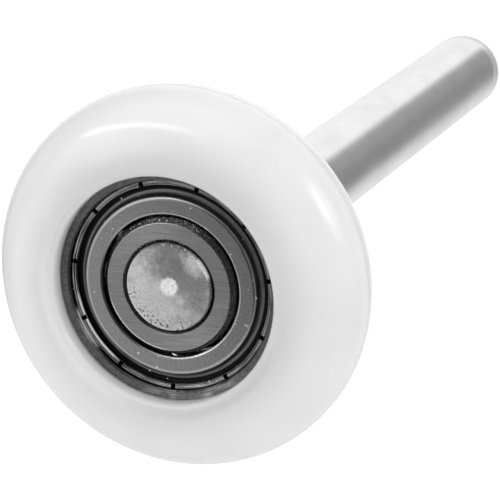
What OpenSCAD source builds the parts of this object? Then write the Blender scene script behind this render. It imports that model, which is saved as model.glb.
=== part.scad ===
// Garage door roller: a nylon tyre moulded round a shielded ball bearing, which turns on a riveted steel stem.
// The wheel spins about the Y axis, the stem leaves towards +Y, and the origin is the middle of the wheel.

/* [Tyre] */
// Diameter over the tread
tread_d = 46; // [44:0.5:50]
// Width over the two lips
tyre_w = 13.9; // [13:0.1:16]
// Radius of the tread's crown, which runs in the track
crown_r = 6; // [4.5:0.1:6.3]
// Diameter of the opening that shows the bearing
opening_d = 27.4; // [26.8:0.1:28.4]
// Rounding of the lip round the opening
lip_r = 0.8; // [0.3:0.1:1.2]

/* [Bearing rings] */
// Outside diameter of the outer ring
bearing_d = 30; // [29.6:0.1:31]
// Width of both rings
bearing_w = 9; // [8.8:0.1:9.6]
// Bore of the inner ring, and the stem's spigot in it
bore_d = 10; // [9:0.1:10.2]
// Diameter of the inner ring's shoulders
inner_shoulder_d = 16.5; // [16.2:0.1:16.9]
// Diameter of the outer ring's shoulders
outer_shoulder_d = 23.3; // [22.8:0.1:23.6]
// Opening of the outer ring outside the shields
outer_mouth_d = 25.4; // [25.4:0.02:25.7]
// Chamfer at each end of the bore
bore_chamfer = 0.8; // [0.5:0.05:0.9]
// Chamfer on the other ring corners
ring_chamfer = 0.6; // [0.3:0.05:0.7]
// Width of the chamfer that shows on the inner ring's face
face_chamfer = 0.52; // [0.4:0.04:0.76]

/* [Balls and cage] */
// Diameter of a ball
ball_d = 4.76; // [4.7:0.02:4.8]
// Diameter of the circle through the ball centres
pitch_d = 20; // [19.9:0.02:20.1]
// Running clearance between a ball and each race
ball_play = 0.02; // [0.01:0.005:0.05]
// Groove radius of the races, as a share of the ball diameter
race_share = 0.52; // [0.515:0.005:0.54]
// Sheet thickness of each cage half
cage_t = 0.4; // [0.25:0.05:0.45]
// Width of the cage ribbon, measured along a radius
cage_band = 1.8; // [1.4:0.1:1.9]
// Clearance between a ball and its pocket
pocket_play = 0.07; // [0.04:0.01:0.1]
// Shank diameter of a cage rivet
rivet_d = 0.8; // [0.5:0.1:0.9]
// Head diameter of a cage rivet
rivet_head_d = 1.3; // [1.1:0.1:1.5]
// Height of a rivet head
rivet_head_h = 0.3; // [0.2:0.05:0.4]

/* [Shields] */
// Sheet thickness of a shield
shield_t = 0.35; // [0.25:0.05:0.4]
// Hole in a shield, which clears the inner ring
shield_hole_d = 17.2; // [17:0.05:17.6]
// Rounding of the hole's outer edge
hole_round = 0.25; // [0.1:0.05:0.3]
// How far a shield's raised face lies below the ring faces
shield_recess = 0.3; // [0.2:0.05:0.4]
// Diameter at which the raised face starts to turn down
shield_face_d = 20.7; // [20.2:0.1:20.9]
// Radius of the bend between the raised face and its skirt
shield_bend_r = 0.5; // [0.45:0.05:0.6]
// Slope of the skirt away from the axis, in degrees
skirt_slope = 20; // [10:1:25]
// Depth of the shield's seat below the ring faces
seat_depth = 1.65; // [1.6:0.01:1.7]
// Radius of the trough's inner side, where the skirt runs into the floor
trough_in_r = 0.5; // [0.3:0.05:0.55]
// Radius of the trough's outer side, where the floor rises to the bead
trough_out_r = 0.28; // [0.2:0.02:0.3]
// Diameter of the line where the rolled bead meets the crimped tabs
rim_d = 24.54; // [24.44:0.02:24.6]
// Width of the bead
bead_w = 0.31; // [0.25:0.01:0.34]
// Width of the tabs
tab_w = 0.39; // [0.3:0.01:0.42]
// Depth of the tabs below the ring faces
tab_depth = 0.66; // [0.6:0.02:0.75]
// Number of notches that part the tabs, so that they could be crimped
notch_count = 11; // [6:1:16]
// Width of a notch
notch_w = 0.55; // [0.3:0.05:0.9]
// Angle of the first notch above the +X axis, in degrees
notch_start = 9; // [0:0.5:32]

/* [Stem] */
// Diameter of the stem
stem_d = 11; // [10.6:0.1:12]
// Length of the whole roller, from its front lip to the stem's end
overall_l = 120; // [100:1:260]
// Rounding of the stem's free end
nose_r = 3.6; // [1:0.1:5]
// Diameter of the collar that bears on the inner ring
collar_d = 14; // [13:0.1:15]
// Width of the collar
collar_w = 1.5; // [1:0.1:3]
// Rounding of the collar's edges
collar_round = 0.4; // [0.1:0.05:0.45]
// Rim diameter of the riveted head
head_d = 10.7; // [10.3:0.1:10.9]
// How far the head stands proud of the bearing
head_proud = 0.1; // [0:0.02:0.2]
// Depth of the hollow spun into the head
head_hollow = 0.25; // [0.1:0.05:0.5]
// Diameter of the punch mark in the middle of the head
punch_d = 2.2; // [1:0.1:3]
// Depth of the punch mark
punch_depth = 0.08; // [0.04:0.02:0.3]

/* [Hidden] */
$fn = 96;
ball_count = 8;

// Half widths and radii that several pieces share
half_tyre = tyre_w / 2;
half_bearing = bearing_w / 2;
crest_r = opening_d / 2 + lip_r;
crown_c = tread_d / 2 - crown_r;
pitch_r = pitch_d / 2;
race_r = race_share * ball_d;

// The flank is the arc that is level at the lip's crest and runs smoothly into the crown. Its radius is a hair
// less than that of the arc that would touch the crown, so that the two cross on one clean edge.
flank_hair = 0.008;
touching_r = (pow(crown_c - crest_r, 2) + pow(half_tyre, 2) - pow(crown_r, 2)) / (2 * (half_tyre - crown_r));
flank_r = touching_r - flank_hair;
flank_angle = atan2(flank_r - half_tyre, crown_c - crest_r);

// Heights above the middle plane of the bearing, on either side
shield_top = half_bearing - shield_recess;
seat_y = half_bearing - seat_depth;
floor_y = seat_y + shield_t;

// The shield's rim: a bead, the tabs outside it, and the flange under them that sits in the ring's groove
rim_line = rim_d / 2;
bead_in = rim_line - bead_w;
tab_out = rim_line + tab_w;
tab_top = half_bearing - tab_depth;
tab_round = 0.1;
bead_drop = 0.04;
bead_top = tab_top - bead_drop;
bead_slope = [0.16, 0.29];
bead_edge = 0.05;
flange_reach = 0.34;
groove_r = tab_out + flange_reach;

// By this little the arcs of a shield's section sink into their neighbours, so that they cross them cleanly
arc_hair = 0.004;

// Steep chamfer at the mouth, and depth of the lip that keeps the shield in the groove
mouth_edge = [0.17, 0.31];
mouth_lip = 0.7;

// Broken edge between the inner ring's face and its chamfer
edge_break = 0.08;

// Steep chamfer on the rim of the riveted head, and the share of its overhang that lies in the bore's chamfer
head_edge = [0.15, 0.27];
head_seat = 0.7;

// Two ends of the stem's free length
stem_start = half_bearing + collar_w;
stem_end = overall_l - half_tyre;

// Part of a disc between two angles, which lie less than 180 degrees apart
module sector(center, radius, from, to) {
    edges = [for (a = [from, (from + to) / 2, to]) center + 2 * radius * [cos(a), sin(a)]];
    intersection() {
        translate(center) circle(radius);
        polygon(concat([center], edges));
    }
}

// Shape on the +Y side of the middle plane, made on both sides
module both_sides() {
    children();
    mirror([0, 1, 0]) children();
}

// Turns a profile about the Y axis: x is the radius, y the place along the axis
module turned() rotate([-90, 0, 0]) rotate_extrude() children();

// Moves a piece to a place on the pitch circle, at an angle above the +X axis
module on_pitch(angle) rotate([0, -angle, 0]) translate([pitch_r, 0, 0]) children();

function ball_angle(i) = 90 + 360 / ball_count * (i - 1);
function rivet_angle(i) = ball_angle(i) + 180 / ball_count;

// Outline of one half of the outer ring, which the tyre is moulded round
module half_ring_outline() {
    r = bearing_d / 2;
    shoulder = half_bearing - ring_chamfer;
    polygon([[0, 0], [r, 0], [r, shoulder], [r - ring_chamfer, half_bearing], [0, half_bearing]]);
}

module tyre() {
    mouth = opening_d / 2;
    reach = 2 * crown_r * [cos(flank_angle), sin(flank_angle)];
    color("whitesmoke") both_sides() turned() difference() {
        union() {
            intersection() {
                union() {
                    translate([crown_c, 0]) circle(crown_r);
                    polygon([
                        [crest_r, 0], [crown_c, 0], [crown_c, 0] + reach, [crest_r, 2 * half_tyre]
                    ]);
                }
                translate([crest_r, half_tyre - flank_r]) circle(flank_r);
                translate([crest_r, 0]) square(tread_d);
            }
            sector([crest_r, half_tyre - lip_r], lip_r, 90, 180);
            translate([mouth, 0]) square([lip_r, half_tyre - lip_r]);
        }
        half_ring_outline();
    }
}

module outer_ring() {
    mouth = outer_mouth_d / 2;
    race_c = pitch_r + ball_d / 2 + ball_play - race_r;
    color("dimgray") both_sides() turned() difference() {
        half_ring_outline();
        square([outer_shoulder_d / 2, half_bearing]);
        polygon([
            [0, seat_y], [groove_r, seat_y], [groove_r, half_bearing - mouth_lip - (groove_r - mouth)],
            [mouth, half_bearing - mouth_lip], [mouth, half_bearing - mouth_edge[1]],
            [mouth + mouth_edge[0], half_bearing], [0, half_bearing]
        ]);
        translate([race_c, 0]) circle(race_r);
    }
}

module inner_ring() {
    bore = bore_d / 2;
    shoulder = inner_shoulder_d / 2;
    race_c = pitch_r - ball_d / 2 - ball_play + race_r;
    color("gray") both_sides() turned() difference() {
        polygon([
            [bore, 0], [shoulder, 0], [shoulder, half_bearing - ring_chamfer],
            [shoulder - face_chamfer, half_bearing - edge_break / 2],
            [shoulder - face_chamfer - edge_break, half_bearing],
            [bore + bore_chamfer, half_bearing], [bore, half_bearing - bore_chamfer]
        ]);
        translate([race_c, 0]) circle(race_r);
    }
}

module ball(i) {
    color("silver") on_pitch(ball_angle(i)) sphere(d = ball_d);
}

// The share of the cage's band that belongs to one ball, from the middle plane up to a height
module cage_share(height) {
    rotate([-90, 0, 0]) rotate_extrude(angle = 360 / ball_count, start = -180 / ball_count)
        translate([pitch_r - cage_band / 2, 0]) square([cage_band, height]);
}

// Flat land on each side of a round pocket, for the ball that lies on the +X axis
module cage_pocket() {
    inner_r = ball_d / 2 + pocket_play;
    outer_r = inner_r + cage_t;
    difference() {
        union() {
            cage_share(cage_t);
            intersection() {
                cage_share(outer_r + cage_t);
                translate([pitch_r, 0, 0]) sphere(outer_r);
            }
        }
        translate([pitch_r, 0, 0]) sphere(inner_r);
    }
}

// One stamped half of the ribbon cage on the +Y side: pockets joined by lands with rivet holes
module cage_half() {
    difference() {
        union() for (i = [1:ball_count]) rotate([0, -ball_angle(i), 0]) cage_pocket();
        for (i = [1:ball_count]) on_pitch(rivet_angle(i)) rotate([90, 0, 0])
            cylinder(d = rivet_d, h = 4 * cage_t, center = true);
    }
}

module cage_front() {
    color("darkgray") mirror([0, 1, 0]) cage_half();
}

module cage_rear() {
    color("darkgray") cage_half();
}

// A rivet through both cage halves, closed by a domed head on each side
module cage_rivet() {
    dome_r = (pow(rivet_head_d / 2, 2) + pow(rivet_head_h, 2)) / (2 * rivet_head_h);
    both_sides() turned() {
        square([rivet_d / 2, cage_t]);
        intersection() {
            translate([0, cage_t + rivet_head_h - dome_r]) circle(dome_r);
            translate([0, cage_t]) square([rivet_head_d, rivet_head_h]);
        }
    }
}

module cage_rivets() {
    color("lightgray") for (i = [1:ball_count]) on_pitch(rivet_angle(i)) cage_rivet();
}

// Section under the shield's raised face and sloping skirt, drawn in from its outside by a margin
module shield_dome(margin) {
    corner = [shield_face_d / 2, shield_top - shield_bend_r];
    r = shield_bend_r - margin;
    bend_end = corner + r * [cos(skirt_slope), sin(skirt_slope)];
    foot = bend_end[0] + (bend_end[1] - seat_y) * tan(skirt_slope);
    polygon([
        [0, seat_y], [foot, seat_y], bend_end, [corner[0], shield_top - margin], [0, shield_top - margin]
    ]);
    translate(corner) circle(r + arc_hair / 4);
}

// Filling of the trough's inner side
module trough_inside() {
    bend_x = shield_face_d / 2 + shield_bend_r * cos(skirt_slope);
    bend_y = shield_top - shield_bend_r + shield_bend_r * sin(skirt_slope);
    centre_y = floor_y + trough_in_r - arc_hair;
    centre_x = bend_x + (trough_in_r - arc_hair - (centre_y - bend_y) * sin(skirt_slope)) / cos(skirt_slope);
    difference() {
        polygon([
            [bend_x - shield_bend_r, floor_y], [centre_x, floor_y], [centre_x, centre_y],
            [centre_x, centre_y] - trough_in_r * [cos(skirt_slope), sin(skirt_slope)]
        ]);
        translate([centre_x, centre_y]) circle(trough_in_r);
    }
}

// Filling of the trough's outer side, up to the bead
module trough_outside() {
    r = trough_out_r;
    difference() {
        translate([bead_in - r, floor_y]) square(r);
        translate([bead_in - r + arc_hair, floor_y + r - arc_hair]) circle(r);
    }
}

// Section of the bead and a tab, which stand on the shield's floor
module rim_profile() {
    shoulder = tab_top - tab_round;
    polygon([
        [bead_in, seat_y], [rim_line, seat_y], [rim_line, bead_top - 2 * bead_edge],
        [rim_line - bead_edge, bead_top], [bead_in + bead_slope[0], bead_top],
        [bead_in, bead_top - bead_slope[1]]
    ]);
    translate([rim_line, seat_y]) square([tab_w, shoulder - seat_y]);
    translate([rim_line + tab_round, seat_y]) square([tab_w - 2 * tab_round, tab_top - seat_y]);
    sector([rim_line + tab_round, shoulder], tab_round, 90, 180);
    sector([tab_out - tab_round, shoulder], tab_round, 0, 90);
}

// Section of the shield on the +Y side: raised face, skirt, trough, rim and flange
module shield_profile() {
    floor_start = shield_face_d / 2 + shield_bend_r;
    hole = shield_hole_d / 2;
    difference() {
        union() {
            shield_dome(0);
            translate([floor_start, seat_y]) square([groove_r - floor_start, shield_t]);
            trough_inside();
            trough_outside();
            rim_profile();
        }
        shield_dome(shield_t);
        translate([0, seat_y]) square([hole, half_bearing]);
        difference() {
            translate([0, shield_top - hole_round]) square([hole + hole_round, half_bearing]);
            translate([hole + hole_round, shield_top - hole_round]) circle(hole_round);
        }
    }
}

// A whole shield on the +Y side. The notches part its tabs and the flange under them.
module shield() {
    difference() {
        turned() shield_profile();
        for (k = [0:notch_count - 1]) rotate([0, -notch_start - 360 / notch_count * k, 0])
            translate([bead_in + bead_slope[0] / 2, 0, -notch_w / 2])
                cube([2 * (groove_r - bead_in), half_bearing, notch_w]);
    }
}

module shield_front() {
    color("slategray") mirror([0, 1, 0]) shield();
}

module shield_rear() {
    color("slategray") shield();
}

// Section of the riveted head in the bore's front chamfer, with its hollow and punch mark
module head_profile() {
    bore = bore_d / 2;
    rim = head_d / 2;
    front = -half_bearing - head_proud;
    seat = head_seat * (rim - bore);
    polygon([
        [0, 0], [0, front + head_hollow + punch_depth], [punch_d / 2, front + head_hollow],
        [rim - 2 * head_edge[0], front], [rim - head_edge[0], front], [rim, front + head_edge[1]],
        [bore + seat, bore_chamfer - half_bearing - seat], [bore, bore_chamfer - half_bearing], [bore, 0]
    ]);
}

module stem() {
    r = stem_d / 2;
    c = collar_round;
    collar_r = collar_d / 2;
    color("gainsboro") turned() {
        head_profile();
        square([bore_d / 2, half_bearing]);
        translate([0, half_bearing]) square([collar_r - c, collar_w]);
        translate([0, half_bearing + c]) square([collar_r, collar_w - 2 * c]);
        sector([collar_r - c, half_bearing + c], c, -90, 0);
        sector([collar_r - c, stem_start - c], c, 0, 90);
        translate([0, stem_start]) square([r, stem_end - nose_r - stem_start]);
        translate([0, stem_end - nose_r]) square([r - nose_r, nose_r]);
        sector([r - nose_r, stem_end - nose_r], nose_r, 0, 90);
    }
}

tyre();
outer_ring();
inner_ring();
for (i = [1:ball_count]) ball(i);
cage_front();
cage_rear();
cage_rivets();
shield_front();
shield_rear();
stem();
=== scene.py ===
import math
from functools import reduce

import bpy
from mathutils import Matrix, Vector


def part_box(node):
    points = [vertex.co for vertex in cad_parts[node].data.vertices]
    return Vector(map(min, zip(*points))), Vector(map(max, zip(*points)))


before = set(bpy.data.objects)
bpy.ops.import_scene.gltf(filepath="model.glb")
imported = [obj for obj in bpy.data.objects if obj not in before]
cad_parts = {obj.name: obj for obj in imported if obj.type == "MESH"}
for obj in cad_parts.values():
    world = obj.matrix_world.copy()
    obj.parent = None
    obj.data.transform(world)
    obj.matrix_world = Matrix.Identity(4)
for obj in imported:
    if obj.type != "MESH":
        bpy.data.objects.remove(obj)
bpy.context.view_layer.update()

# The finishes, the studio and the camera of a garage door roller. The frame gives every solid and its place:
# the wheel spins about +Y, its face with the bearing looks towards -Y, and the stem leaves towards +Y.
MM = 0.001

# Places that the finishes and the floor follow, from the frame's own boxes: the tyre's lowest corner, the
# outer ring's face, and the stem's two ends, of which the first is the front of its head
TYRE_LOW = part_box("tyre")[0]
RING_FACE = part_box("outer_ring")[1].y
STEM_LOW, STEM_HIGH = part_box("stem")
HEAD_FRONT = STEM_LOW.y

# Radii that the finishes follow: the tyre's opening, where its mould's insert ended, how far out the painted
# shade of the steel under it reaches, the outer ring's mouth, and the outer corner of the inner ring's face
OPENING = 14.0 * MM
INSERT_EDGE = 15.35 * MM
SHADE_END = 19.5 * MM
MOUTH = 12.82 * MM
INNER_CORNER = 7.7 * MM

# The same on a shield, from the middle outwards: the edge of its hole, the bend round its raised face, the
# skirt below that with its painted darkening, the trough with its painted shade, the rise to the rolled bead,
# the bead's rim, and its crest
HOLE_EDGE = 8.88 * MM
BEND_START = 10.325 * MM
SKIRT_START = 10.7 * MM
SKIRT_DARK = 10.85 * MM
BEND_END = 10.95 * MM
SKIRT_LIGHT = 11.2 * MM
TROUGH_START = 11.425 * MM
RISE_START = 11.5 * MM
RIM_START = 11.55 * MM
RISE_END = 11.79 * MM
CREST = 12.13 * MM

# The same on the stem's head: the punch mark, where the painted wedge of light, the pits, the specks and the
# painted glint begin and are in full, and the rim
PUNCH_MARK = 1.1 * MM
WEDGE_START, WEDGE_FULL = 1.5 * MM, 4.6 * MM
PITS_START, PITS_FULL = 3.4 * MM, 4.9 * MM
SPECKS_START, SPECKS_FULL = 4.6 * MM, 5.1 * MM
GLINT_START, GLINT_FULL = 4.98 * MM, 5.1 * MM
HEAD_RIM = 5.4 * MM

# Depths below the nearer face of the bearing's rings: where the inner ring's ground face ends, where the
# mouth's painted shade begins, the painted highlight streak on it, and the shield's trough
FACE_DEPTH = 0.045 * MM
MOUTH_DEPTH = 0.33 * MM
PAINTED_STREAK_DEPTH = 0.7 * MM
TROUGH_DEPTH = 0.9 * MM

# How far the head reaches behind its face
HEAD_DEPTH = 1.1 * MM

# Scuffs on the nylon: angle about the axis in degrees, radius and size
SCUFFS = [
    (69, 22.2 * MM, 1.6 * MM), (55, 21.5 * MM, 2.0 * MM), (-2, 19.0 * MM, 0.7 * MM),
    (122, 14.9 * MM, 0.9 * MM), (205, 20.0 * MM, 0.8 * MM), (300, 21.0 * MM, 0.9 * MM),
]

# The stem's normal leans over towards its rounded end: how far before the end it starts to, over what length
# it is fully over, and how far it leans
LEAN_START = 6.0 * MM
LEAN_LENGTH = 2.4 * MM
LEAN = 0.2

# The camera's place, as seen from the middle of the wheel
CAMERA_AZIMUTH = math.radians(21.55)
CAMERA_ELEVATION = math.radians(17.31)
CAMERA_DISTANCE = 321.15 * MM
CAMERA_RIGHT = 7.77 * MM
CAMERA_UP = 3.07 * MM
LENS = 197.6
SENSOR = 36

# The lamps: name, direction, the way that its long side runs, its two angular sizes in degrees, brightness
LAMP_DISTANCE = 0.9
LAMPS = [
    ("left_strip", (-0.56, -0.54, 0.62), (0.488, -0.278, 0.159), 44, 5, 4.6),
    ("right_strip", (0.855, -0.18, 0.487), (0.173, 0.003, -0.309), 17, 15, 3.2),
]

# The even light that matt surfaces get, which is a little stronger from one side
WORLD_LEVEL = 0.785
BRIGHTER_SIDE = (0.62, -0.1, 0.78)
BRIGHTER_BY = 0.13

# What polished surfaces see of the room: name, direction, half angle and soft edge in degrees, brightness.
# Each one lies over those before it.
ROOM_LEVEL = 0.04
ROOM = [
    ("white_sweep", (0.0, 1.0, 0.0), 48, 14, 1.0),
    ("white_floor", (-0.1, 0.1, -1.0), 58, 10, 0.85),
    ("far_floor", (0.1, 0.75, -0.66), 26, 12, 0.85),
    ("ceiling", (-0.3, -0.4, 0.87), 22, 16, 1.1),
    ("left_glow", (-0.78, -0.5, 0.38), 13, 8, 1.4),
    ("left_front", (-0.6, -0.77, 0.24), 11, 8, 1.4),
    ("table", (-0.72, -0.5, -0.48), 33, 4, 0.72),
    ("right_window", (0.9, -0.02, 0.43), 13, 6, 2.0),
    ("skirting", (0.45, 0.89, -0.1), 18, 13, 0.6),
    ("dark_wall", (0.417, 0.888, 0.194), 17, 4, 0.29),
    ("low_wall", (0.45, 0.89, -0.1), 9, 9, 0.2),
]

# The floor: how far it lies below the wheel, its size, its colour, and its glow as the camera sees it
FLOOR_DROP = 0.15
FLOOR_SIZE = 6.0
FLOOR_LEVEL = 0.85
FLOOR_GLOW = 0.32


class Nodes:
    """A material's or the world's node tree, with short calls for the few nodes that it is built from. A mask
    is a number that is 1 in a place and 0 outside it."""

    def __init__(self, owner):
        owner.use_nodes = True
        self.tree = owner.node_tree
        self.tree.nodes.clear()

    def new(self, kind, inputs=None, **settings):
        """A node of a kind, with its settings, and its inputs by name or number."""
        node = self.tree.nodes.new(kind)
        for name, value in settings.items():
            setattr(node, name, value)
        for key, value in (inputs or {}).items():
            self.put(node.inputs[key], value)
        return node

    def put(self, socket, value):
        """Links a node's output to a socket, or sets the socket to a plain value."""
        if isinstance(value, bpy.types.NodeSocket):
            self.tree.links.new(value, socket)
        else:
            socket.default_value = value

    def math(self, operation, *values, clamp=False):
        """One operation on numbers."""
        node = self.new("ShaderNodeMath", operation=operation, use_clamp=clamp)
        for socket, value in zip(node.inputs, values):
            self.put(socket, value)
        return node.outputs[0]

    def chain(self, operation, values):
        """An operation on the first two of some numbers, then on its result and the next, and so on."""
        return reduce(lambda a, b: self.math(operation, a, b), values)

    def plus(self, *values):
        """The sum of some numbers."""
        return self.chain("ADD", values)

    def minus(self, *values):
        """The first number less all the others."""
        return self.chain("SUBTRACT", values)

    def times(self, *values):
        """The product of some numbers. Of masks, it is the place that they share."""
        return self.chain("MULTIPLY", values)

    def most(self, *values):
        """The largest of some numbers. Of masks, it is all their places together."""
        return self.chain("MAXIMUM", values)

    def ramp(self, value, low, high, out_low=0.0, out_high=1.0):
        """The value, taken smoothly from one range to another."""
        node = self.new("ShaderNodeMapRange", {"Value": value, "From Min": low, "From Max": high,
                                               "To Min": out_low, "To Max": out_high},
                        interpolation_type="SMOOTHSTEP")
        return node.outputs["Result"]

    def spread(self, noise, low, high):
        """Noise, which keeps near its middle, spread smoothly over a range."""
        return self.ramp(noise, 0.3, 0.7, low, high)

    def beyond(self, value, edge, soft):
        """Mask of the place where a value is larger than an edge, which is soft over a width."""
        return self.ramp(value, edge - soft / 2, edge + soft / 2)

    def within(self, value, edge, soft):
        """Mask of the place where a value is smaller than an edge, which is soft over a width."""
        return self.ramp(value, edge + soft / 2, edge - soft / 2)

    def line(self, value, middle, half, soft):
        """Mask of a line round a value's middle, which reaches half its width to either side of that."""
        return self.within(self.math("ABSOLUTE", self.minus(value, middle)), half, soft)

    def between(self, share, low, high):
        """A number between two others: the first where the share is 0, the second where it is 1."""
        node = self.new("ShaderNodeMix", data_type="FLOAT")
        for socket, value in zip(node.inputs[:1] + node.inputs[2:4], (share, low, high)):
            self.put(socket, value)
        return node.outputs[0]

    def vector(self, operation, *values):
        """One operation on vectors."""
        node = self.new("ShaderNodeVectorMath", operation=operation)
        sockets = (node.inputs[0], node.inputs["Scale"]) if operation == "SCALE" else node.inputs
        for socket, value in zip(sockets, values):
            self.put(socket, value)
        return node.outputs["Value" if operation in ("DOT_PRODUCT", "DISTANCE") else "Vector"]

    def tint(self, level):
        """A neutral grey of a varying level."""
        return self.new("ShaderNodeCombineColor", {0: level, 1: level, 2: level}).outputs[0]

    def place(self, scale=(1, 1, 1), turn=(0, 0, 0)):
        """Where a point lies on the piece, turned and stretched."""
        point = self.new("ShaderNodeTexCoord").outputs["Object"]
        return self.new("ShaderNodeMapping", {"Vector": point, "Rotation": turn, "Scale": scale}).outputs[0]

    def flat_place(self):
        """Where a point lies, seen along the spin axis."""
        return self.vector("MULTIPLY", self.place(), (1.0, 0.0, 1.0))

    def axis_place(self):
        """Distance from the spin axis, and place along it."""
        xyz = self.new("ShaderNodeSeparateXYZ", {"Vector": self.place()})
        squares = (self.math("POWER", xyz.outputs[name], 2.0) for name in ("X", "Z"))
        return self.math("SQRT", self.plus(*squares)), xyz.outputs["Y"]

    def depth(self, along):
        """How far a place along the spin axis lies below the nearer face of the bearing's rings."""
        return self.minus(RING_FACE, self.math("ABSOLUTE", along))

    def facing(self, angle):
        """How far a point lies towards an angle about the spin axis, in degrees from +X over +Z. It is the
        cosine of the angle between the two: 1 there, and -1 opposite."""
        turn = math.radians(angle)
        radial = self.vector("NORMALIZE", self.flat_place())
        return self.vector("DOT_PRODUCT", radial, (math.cos(turn), 0.0, math.sin(turn)))

    def side(self, angle, low, high):
        """Mask of the side that faces an angle, which grows from one value of facing() to another."""
        return self.ramp(self.facing(angle), low, high)

    def noise(self, size, scale=(1, 1, 1), turn=(0, 0, 0), detail=3.0, roughness=0.5):
        """Smooth noise whose features are about the given size in metres."""
        node = self.new("ShaderNodeTexNoise", {"Vector": self.place(scale, turn), "Scale": 1 / size,
                                               "Detail": detail, "Roughness": roughness})
        return node.outputs["Fac"]

    def turned_marks(self, width, detail=3.0):
        """Noise drawn out round the spin axis, as a lathe or a press leaves it, in lines of about a width. It
        runs quickly with the radius and the place along the axis, and slowly round the axis."""
        radius, along = self.axis_place()
        across = self.math("DIVIDE", self.math("MULTIPLY_ADD", along, 0.7, radius), width)
        round_axis = [self.times(self.facing(angle), 5.0) for angle in (0, 90)]
        point = self.new("ShaderNodeCombineXYZ", dict(enumerate([across] + round_axis))).outputs[0]
        node = self.new("ShaderNodeTexNoise", {"Vector": point, "Scale": 1.0, "Detail": detail})
        return node.outputs["Fac"]

    def to_world(self, vector, kind):
        """A direction on the piece, as a direction in the world."""
        return self.new("ShaderNodeVectorTransform", {"Vector": vector}, vector_type=kind,
                        convert_from="OBJECT", convert_to="WORLD").outputs[0]

    def across_grooves(self, turn=0.0):
        """The direction in the surface that crosses turned grooves, which run round the spin axis or, with a
        turn in degrees, slant away from that."""
        coordinates = self.new("ShaderNodeTexCoord").outputs
        axis = (0.0, 1.0, 0.0)
        along = self.vector("CROSS_PRODUCT", axis, coordinates["Object"])
        if turn:
            along = self.new("ShaderNodeVectorRotate", {"Vector": along, "Axis": axis,
                                                        "Angle": math.radians(turn)},
                             rotation_type="AXIS_ANGLE").outputs[0]
        across = self.vector("NORMALIZE", self.vector("CROSS_PRODUCT", coordinates["Normal"], along))
        return self.to_world(across, "VECTOR")

    def turned_normal(self, lean):
        """The surface's normal with its direction round the spin axis taken from the place, so that a turned
        piece looks round. It leans towards +Y by no less than it is told."""
        own = self.new("ShaderNodeTexCoord").outputs["Normal"]
        radial = self.vector("NORMALIZE", self.flat_place())
        outwards = self.vector("SCALE", radial, self.vector("DOT_PRODUCT", own, radial))
        own_lean = self.new("ShaderNodeSeparateXYZ", {"Vector": own}).outputs["Y"]
        along = self.new("ShaderNodeCombineXYZ", {"Y": self.most(own_lean, lean)}).outputs[0]
        return self.to_world(self.vector("NORMALIZE", self.vector("ADD", outwards, along)), "NORMAL")

    def bump(self, height, depth, under=None):
        """The normal of a surface that is raised by a height times a depth, over another normal."""
        inputs = {"Height": height, "Distance": depth, "Strength": 1.0}
        if under:
            inputs["Normal"] = under
        return self.new("ShaderNodeBump", inputs).outputs["Normal"]

    def surface(self, inputs):
        """Gives the material its shader."""
        shader = self.new("ShaderNodeBsdfPrincipled", inputs)
        self.new("ShaderNodeOutputMaterial", {"Surface": shader.outputs[0]})


def grey(level):
    """A plain neutral colour."""
    return (level, level, level, 1.0)


def nylon():
    """White nylon: glossy, a little cloudy and translucent, greyer round the lip as painted shade where the
    steel lies close under it, with the mould's parting line round the tread, a faint ring where the mould's
    insert ended, and a few pits and scuffs on its face. The lip is painted lighter on one side and darker on
    the other, and the face a little lighter on one side."""
    lit_lip_side, shaded_lip_side, lit_face_side = 206, 297, 203
    white, shaded_white, wall_white = 0.89, 0.76, 0.9
    material = bpy.data.materials.new("white_nylon")
    n = Nodes(material)
    radius, along = n.axis_place()
    clouds = n.spread(n.noise(9 * MM, detail=1.0), -0.015, 0.015)
    # Painted shade: the nylon is greyer from the opening out to SHADE_END, over the steel close under it; the
    # wall of the opening keeps its white.
    painted_steel_shade = n.ramp(radius, SHADE_END, OPENING)
    wall = n.within(radius, OPENING, 0.4 * MM)
    # Painted light and shade: the lip is lighter on one side and darker on the opposite side.
    painted_lip_light, painted_lip_shade = (n.side(side, 0.6, 1.0) for side in (lit_lip_side, shaded_lip_side))
    painted_lip_light_and_shade = n.times(n.within(radius, INSERT_EDGE, 1.1 * MM), n.minus(painted_lip_light, painted_lip_shade))
    # Painted light: the face is a little lighter on one side.
    painted_face_light = n.side(lit_face_side, 0.3, 1.0)
    seam = n.line(along, 0.0, 0.11 * MM, 0.1 * MM)
    ring = n.times(n.line(radius, INSERT_EDGE, 0.07 * MM, 0.1 * MM), n.ramp(n.noise(6 * MM), 0.4, 0.6))
    dots = n.ramp(n.noise(0.6 * MM, detail=3.0, roughness=0.7), 0.6, 0.7)
    pits = 0.0
    for angle, distance, size in SCUFFS:
        turn = math.radians(angle)
        middle = (distance * math.cos(turn), 0.0, distance * math.sin(turn))
        near = n.ramp(n.vector("DISTANCE", n.flat_place(), middle), size, 0.3 * size)
        pits = n.most(pits, n.times(near, dots))
    face = n.between(painted_steel_shade, white, shaded_white)
    level = n.plus(n.between(wall, face, wall_white), clouds, n.times(painted_lip_light_and_shade, 0.1), n.times(painted_face_light, 0.025))
    level = n.minus(level, n.times(seam, 0.1), n.times(pits, 0.12))
    dents = n.plus(n.times(ring, 0.4), n.most(seam, pits))
    n.surface({"Base Color": n.tint(level), "Roughness": n.spread(n.noise(3 * MM), 0.14, 0.19),
               "IOR": 1.53, "Subsurface Weight": 1.0, "Subsurface Radius": (1.0, 1.0, 1.0),
               "Subsurface Scale": 5 * MM, "Normal": n.bump(dents, -0.05 * MM)})
    return material


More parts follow.
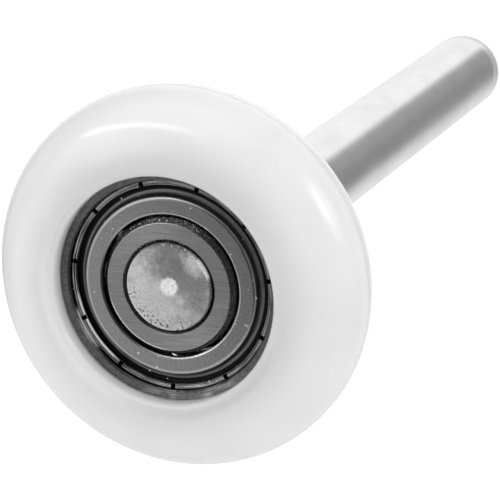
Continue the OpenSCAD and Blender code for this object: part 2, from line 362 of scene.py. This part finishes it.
def turned_steel():
    """Dark hardened steel of the outer ring: fine turning marks and nicks on its faces, and one side, which
    lay on the bench, scratched bright. The mouth outside the shields is painted dark as shade, with one
    painted highlight streak."""
    bench_side, painted_streak_side = 284, 211
    material = bpy.data.materials.new("turned_steel")
    n = Nodes(material)
    radius, along = n.axis_place()
    depth = n.depth(along)
    grain = n.noise(0.35 * MM, detail=4.0)
    turned = n.turned_marks(0.12 * MM)
    blotches = n.noise(1.8 * MM, detail=3.0)
    level = n.times(n.spread(grain, 0.17, 0.27), n.spread(blotches, 0.85, 1.1))
    scratched = n.times(n.side(bench_side, 0.84, 0.98), n.ramp(blotches, 0.35, 0.6, 0.3, 1.0))
    level = n.plus(level, n.times(scratched, n.ramp(turned, 0.42, 0.6, 0.03, 0.45)))
    nicks = n.ramp(n.noise(0.5 * MM, detail=1.0), 0.69, 0.73)
    level = n.between(nicks, level, 0.02)
    # Painted shade: the mouth below the ring's face is near black.
    painted_mouth_shade = n.times(n.within(radius, MOUTH, 0.1 * MM), n.beyond(depth, MOUTH_DEPTH, 0.06 * MM))
    # Painted highlight: one bright, matt streak on the mouth's wall.
    painted_streak = n.times(painted_mouth_shade, n.side(painted_streak_side, 0.97, 0.99), n.within(depth, PAINTED_STREAK_DEPTH, 0.1 * MM))
    level = n.between(painted_streak, n.between(painted_mouth_shade, level, 0.05), 0.95)
    n.surface({"Base Color": n.tint(level), "Metallic": n.minus(1.0, n.times(painted_streak, 0.8)),
               "Roughness": n.spread(grain, 0.3, 0.4), "Anisotropic": 0.5,
               "Tangent": n.across_grooves(), "Normal": n.bump(turned, 0.01 * MM)})
    return material


def ground_steel():
    """Steel of the inner ring: its faces are ground with parallel marks that cross older ones, its chamfers
    keep their dark scale, with bright specks where that chipped, and the corner of its face has a painted
    highlight on one side."""
    chipped_side, highlight_side = 100, 232
    material = bpy.data.materials.new("ground_steel")
    n = Nodes(material)
    radius, along = n.axis_place()
    marks = n.noise(0.45 * MM, scale=(0.1, 1, 3), turn=(0, math.radians(6), 0), detail=4.0)
    older = n.noise(0.5 * MM, scale=(3, 1, 0.12), turn=(0, math.radians(14), 0), detail=3.0)
    across = n.ramp(n.noise(3 * MM), 0.56, 0.68, 0.0, 0.7)
    lines = n.between(across, marks, older)
    scale = n.beyond(n.depth(along), FACE_DEPTH, 0.03 * MM)
    specks = n.ramp(n.noise(0.16 * MM, detail=1.0), 0.64, 0.68)
    chips = n.times(specks, scale, n.side(chipped_side, 0.5, 0.9))
    corner = n.between(chips, n.spread(n.noise(0.3 * MM), 0.05, 0.12), 0.9)
    # Painted highlight: a bright, matt line along the corner of the face on one side.
    painted_highlight = n.times(n.line(radius, INNER_CORNER, 0.075 * MM, 0.05 * MM), n.side(highlight_side, 0.75, 0.9))
    level = n.between(scale, n.spread(lines, 0.36, 0.52), corner)
    n.surface({"Base Color": n.tint(n.between(painted_highlight, level, 0.95)),
               "Metallic": n.minus(1.0, n.times(n.most(chips, painted_highlight), 0.8)),
               "Roughness": n.spread(lines, 0.26, 0.4), "Anisotropic": 0.6,
               "Tangent": n.across_grooves(), "Normal": n.bump(lines, 0.007 * MM)})
    return material


def satin_sheet():
    """Satin sheet steel of the shields: bright where the press bent it and round the hole, with a few specks
    of dust. The skirt is dull and painted darker next to the bend, and the trough below it is painted near
    black as shade. The rise to the rolled bead is rubbed, and the bead has a painted highlight on one side."""
    highlight_side = 213
    material = bpy.data.materials.new("satin_sheet")
    n = Nodes(material)
    radius, along = n.axis_place()
    grain = n.noise(0.3 * MM, detail=3.0)
    turned = n.turned_marks(0.15 * MM)
    deep = n.beyond(n.depth(along), TROUGH_DEPTH, 0.1 * MM)
    in_trough = n.most(deep, n.within(radius, RISE_START, 0.1 * MM))
    dull = n.times(in_trough, n.beyond(radius, SKIRT_START, 0.12 * MM))
    # Painted shade: the trough below the skirt is near black.
    painted_trough_shade = n.times(in_trough, n.beyond(radius, TROUGH_START, 0.15 * MM))
    bend = n.times(n.beyond(radius, BEND_START, 0.15 * MM), n.within(radius, BEND_END, 0.1 * MM))
    bright = n.most(bend, n.within(radius, HOLE_EDGE, 0.08 * MM))
    rim = n.beyond(radius, RIM_START, 0.1 * MM)
    rubbed = n.times(rim, n.within(radius, RISE_END, 0.06 * MM))
    crest = n.line(radius, CREST, 0.12 * MM, 0.06 * MM)
    crest_outside_shade = n.math("SUBTRACT", crest, painted_trough_shade, clamp=True)
    # Painted highlight: the bead's crest is bright and matt on one side.
    painted_highlight = n.times(crest_outside_shade, n.side(highlight_side, 0.9, 0.96))
    dust = n.ramp(n.noise(0.55 * MM, detail=1.0), 0.735, 0.765)
    sheet = n.between(bright, n.spread(grain, 0.32, 0.4), 0.6)
    sheet = n.between(rim, sheet, n.ramp(turned, 0.35, 0.65, 0.2, 0.55))
    sheet = n.between(rubbed, sheet, 0.85)
    # Painted dark reflection: the skirt is darkest next to the bend and lighter further out.
    skirt = n.times(n.spread(turned, 0.8, 1.2), n.ramp(radius, SKIRT_DARK, SKIRT_LIGHT, 0.1, 0.36))
    level = n.between(painted_trough_shade, n.between(dull, sheet, skirt), 0.02)
    matt = n.most(n.times(dust, 0.7), n.times(painted_highlight, 0.8))
    n.surface({"Base Color": n.tint(n.between(painted_highlight, n.between(dust, level, 0.7), 0.95)),
               "Metallic": n.minus(1.0, matt),
               "Roughness": n.between(dull, n.between(n.most(bright, rubbed), 0.2, 0.33), 0.5),
               "Anisotropic": 0.3, "Tangent": n.across_grooves()})
    return material


def plain_metal(name, level, roughness):
    """Smooth metal of one grey, for what lies inside the bearing."""
    material = bpy.data.materials.new(name)
    Nodes(material).surface({"Base Color": grey(level), "Metallic": 1.0, "Roughness": roughness})
    return material


def head_finish(n, radius):
    """Colour of the stem's head, and the mask of its bare bright metal and painted glints. It was spun down.
    It is painted lighter on one side and darker on the other, pitted at the lighter edge, with a painted
    wedge of light across it, bright specks kept to the rim's lit side as painted glints, a painted glint on
    the rim, and a rough, bright middle where the punch bit."""
    light_side, wedge_light_side, pitted_side, specked_side, glint_side = 222, 44, 245, 45, 31
    grain = n.noise(0.22 * MM, detail=4.0, roughness=0.6)
    blotches = n.noise(1.3 * MM, detail=4.0, roughness=0.6)
    wobble = n.times(n.minus(blotches, 0.5), 2.4)
    # Painted light and shade: the head is lighter on one side and darker on the other.
    painted_light_side = n.ramp(n.plus(n.facing(light_side), wobble), -0.9, 1.0)
    # Painted light: a wedge of light across the head.
    painted_wedge = n.times(n.ramp(n.plus(n.facing(wedge_light_side), n.times(wobble, 0.1)), 0.84, 1.0),
                    n.ramp(radius, WEDGE_START, WEDGE_FULL))
    head = n.most(n.between(painted_light_side, 0.34, 1.0), n.times(painted_wedge, 0.9))
    head = n.times(head, n.spread(grain, 0.78, 1.06))
    pits = n.times(n.ramp(n.noise(0.3 * MM, detail=1.5), 0.58, 0.63),
                   n.ramp(n.plus(n.facing(pitted_side), wobble), 0.3, 0.9),
                   n.ramp(radius, PITS_START, PITS_FULL))
    head = n.between(pits, head, 0.08)
    # Bright specks on the rim, kept to its lit side as painted glints.
    specks = n.times(n.ramp(n.noise(0.2 * MM, detail=1.0), 0.62, 0.66),
                     n.side(specked_side, 0.0, 0.6), n.ramp(radius, SPECKS_START, SPECKS_FULL))
    # Painted highlight: a glint on the rim.
    painted_glint = n.times(n.side(glint_side, 0.955, 0.985), n.ramp(radius, GLINT_START, GLINT_FULL))
    ragged = n.plus(radius, n.times(n.minus(grain, 0.5), 1.4 * MM))
    # The punch mark's bare metal, with the painted specks and glint.
    bare_metal_and_glints = n.most(n.within(ragged, PUNCH_MARK, 0.2 * MM), specks, painted_glint)
    return n.between(bare_metal_and_glints, head, n.ramp(grain, 0.35, 0.6, 0.7, 1.0)), bare_metal_and_glints, grain


def stem_steel():
    """Satin plated bar with cloudy smudges. Its spun head is a little crowned and has a finish of its own,
    with painted light, shade and glints. The bar's normal leans over towards its rounded end, whose rim
    catches the light."""
    material = bpy.data.materials.new("stem_steel")
    n = Nodes(material)
    radius, along = n.axis_place()
    on_head = n.within(along, HEAD_FRONT + HEAD_DEPTH, 0.2 * MM)
    head, bare_metal_and_glints, grain = head_finish(n, radius)
    bar = n.ramp(n.noise(3.5 * MM, scale=(1, 0.6, 1), detail=4.0), 0.3, 0.65, 0.86, 0.94)
    to_end = n.math("DIVIDE", n.minus(along, STEM_HIGH.y - LEAN_START), LEAN_LENGTH)
    turned = n.turned_normal(n.times(n.math("MINIMUM", to_end, 1.0), LEAN))
    crown = n.times(n.math("POWER", n.math("DIVIDE", radius, HEAD_RIM), 2.0), -1.0)
    crowned = n.bump(n.times(crown, on_head), 0.12 * MM, turned)
    rough_head = n.times(on_head, n.between(bare_metal_and_glints, 0.3, 0.6))
    matt = n.times(on_head, n.between(bare_metal_and_glints, 0.25, 0.8))
    n.surface({"Base Color": n.tint(n.between(on_head, bar, head)), "Metallic": n.minus(1.0, matt),
               "Roughness": n.between(on_head, 0.26, n.between(bare_metal_and_glints, 0.4, 0.7)),
               "Anisotropic": 0.4, "Tangent": n.across_grooves(59),
               "Normal": n.bump(n.times(grain, rough_head), 0.03 * MM, crowned)})
    return material


def finish(node, material):
    """Gives a CAD node its material."""
    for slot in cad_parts[node].material_slots:
        slot.material = material


def finish_nodes():
    """Gives every node its finish."""
    finish("tyre", nylon())
    finish("outer_ring", turned_steel())
    finish("inner_ring", ground_steel())
    finish("stem", stem_steel())
    sheet = satin_sheet()
    for side in ("front", "rear"):
        finish("shield_" + side, sheet)
    cage = plain_metal("cage_sheet", 0.55, 0.35)
    for side in ("front", "rear"):
        finish("cage_" + side, cage)
    finish("cage_rivets", plain_metal("rivet_steel", 0.62, 0.3))
    ball = plain_metal("polished_ball", 0.75, 0.08)
    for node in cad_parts:
        if node.startswith("ball_"):
            finish(node, ball)


def frame_of(right, up, back, place):
    """The matrix that puts something at a place, with its own X, Y and Z along three directions."""
    return Matrix.Translation(place) @ Matrix((right, up, back)).transposed().to_4x4()


def add_lamp(name, direction, along, width, height, level):
    """A soft box that looks at the wheel, of a given brightness and angular size."""
    w, h = (2 * LAMP_DISTANCE * math.tan(math.radians(angle) / 2) for angle in (width, height))
    data = bpy.data.lights.new(name, "AREA")
    data.shape = "RECTANGLE"
    data.size, data.size_y = w, h
    data.energy = level * math.pi * w * h
    lamp = bpy.data.objects.new(name, data)
    towards = Vector(direction).normalized()
    side = towards.cross(Vector(along)).normalized()
    lamp.matrix_world = frame_of(side.cross(towards), side, towards, LAMP_DISTANCE * towards)
    bpy.context.collection.objects.link(lamp)


def room(n, towards):
    """Brightness of the room in a direction, as polished surfaces see it."""
    seen = ROOM_LEVEL
    for name, direction, half, soft, level in ROOM:
        dot = n.vector("DOT_PRODUCT", towards, Vector(direction).normalized())
        share = n.ramp(dot, math.cos(math.radians(half + soft)), math.cos(math.radians(half - soft)))
        seen = n.between(share, seen, level)
    return seen


def shown_rays(n):
    """Mask of the rays by which the camera sees the background, and that of reflections."""
    rays = n.new("ShaderNodeLightPath").outputs
    return n.most(rays["Is Camera Ray"], rays["Is Transmission Ray"]), rays["Is Glossy Ray"]


def add_world():
    """White to the camera, a nearly even level of light for matt surfaces, and the room for polished ones."""
    world = bpy.data.worlds.new("studio")
    bpy.context.scene.world = world
    n = Nodes(world)
    shown, glossy = shown_rays(n)
    towards = n.new("ShaderNodeTexCoord").outputs["Generated"]
    side = n.vector("DOT_PRODUCT", towards, BRIGHTER_SIDE)
    even = n.math("MULTIPLY_ADD", side, BRIGHTER_BY, WORLD_LEVEL)
    level = n.most(n.between(glossy, even, room(n, towards)), shown)
    background = n.new("ShaderNodeBackground", {"Color": grey(1.0), "Strength": level})
    n.new("ShaderNodeOutputWorld", {"Surface": background.outputs[0]})


def add_floor():
    """A plain pale floor, some way below the wheel. It is matt, with a glow that only the camera sees, and
    polished surfaces see the room in it."""
    material = bpy.data.materials.new("pale_floor")
    n = Nodes(material)
    shown, glossy = shown_rays(n)
    plain = n.new("ShaderNodeBsdfDiffuse", {"Color": grey(FLOOR_LEVEL)}).outputs[0]
    glow = n.new("ShaderNodeEmission", {"Color": grey(FLOOR_GLOW)}).outputs[0]
    lit = n.new("ShaderNodeAddShader", {0: plain, 1: glow}).outputs[0]
    towards = n.vector("NORMALIZE", n.place())
    mirrored = n.new("ShaderNodeEmission", {"Strength": room(n, towards)}).outputs[0]
    shader = n.new("ShaderNodeMixShader", {0: shown, 1: plain, 2: lit}).outputs[0]
    shader = n.new("ShaderNodeMixShader", {0: glossy, 1: shader, 2: mirrored}).outputs[0]
    n.new("ShaderNodeOutputMaterial", {"Surface": shader})
    half, z = FLOOR_SIZE / 2, TYRE_LOW.z - FLOOR_DROP
    mesh = bpy.data.meshes.new("floor")
    corners = [(x * half, y * half, z) for x, y in ((-1, -1), (1, -1), (1, 1), (-1, 1))]
    mesh.from_pydata(corners, [], [(0, 1, 2, 3)])
    mesh.materials.append(material)
    floor = bpy.data.objects.new("floor", mesh)
    bpy.context.collection.objects.link(floor)


def add_camera():
    """A long lens that sees the bearing's face, with the stem going away to the upper right."""
    data = bpy.data.cameras.new("camera")
    data.lens, data.sensor_width = LENS, SENSOR
    data.clip_start, data.clip_end = 0.01, 20
    a, e = CAMERA_AZIMUTH, CAMERA_ELEVATION
    back = Vector((math.sin(a) * math.cos(e), -math.cos(a) * math.cos(e), math.sin(e)))
    right = Vector((math.cos(a), math.sin(a), 0))
    up = back.cross(right)
    camera = bpy.data.objects.new("camera", data)
    place = CAMERA_DISTANCE * back + CAMERA_RIGHT * right + CAMERA_UP * up
    camera.matrix_world = frame_of(right, up, back, place)
    bpy.context.collection.objects.link(camera)
    bpy.context.scene.camera = camera


finish_nodes()
for lamp in LAMPS:
    add_lamp(*lamp)
add_world()
add_floor()
add_camera()

bpy.context.scene.view_settings.view_transform = "Standard"
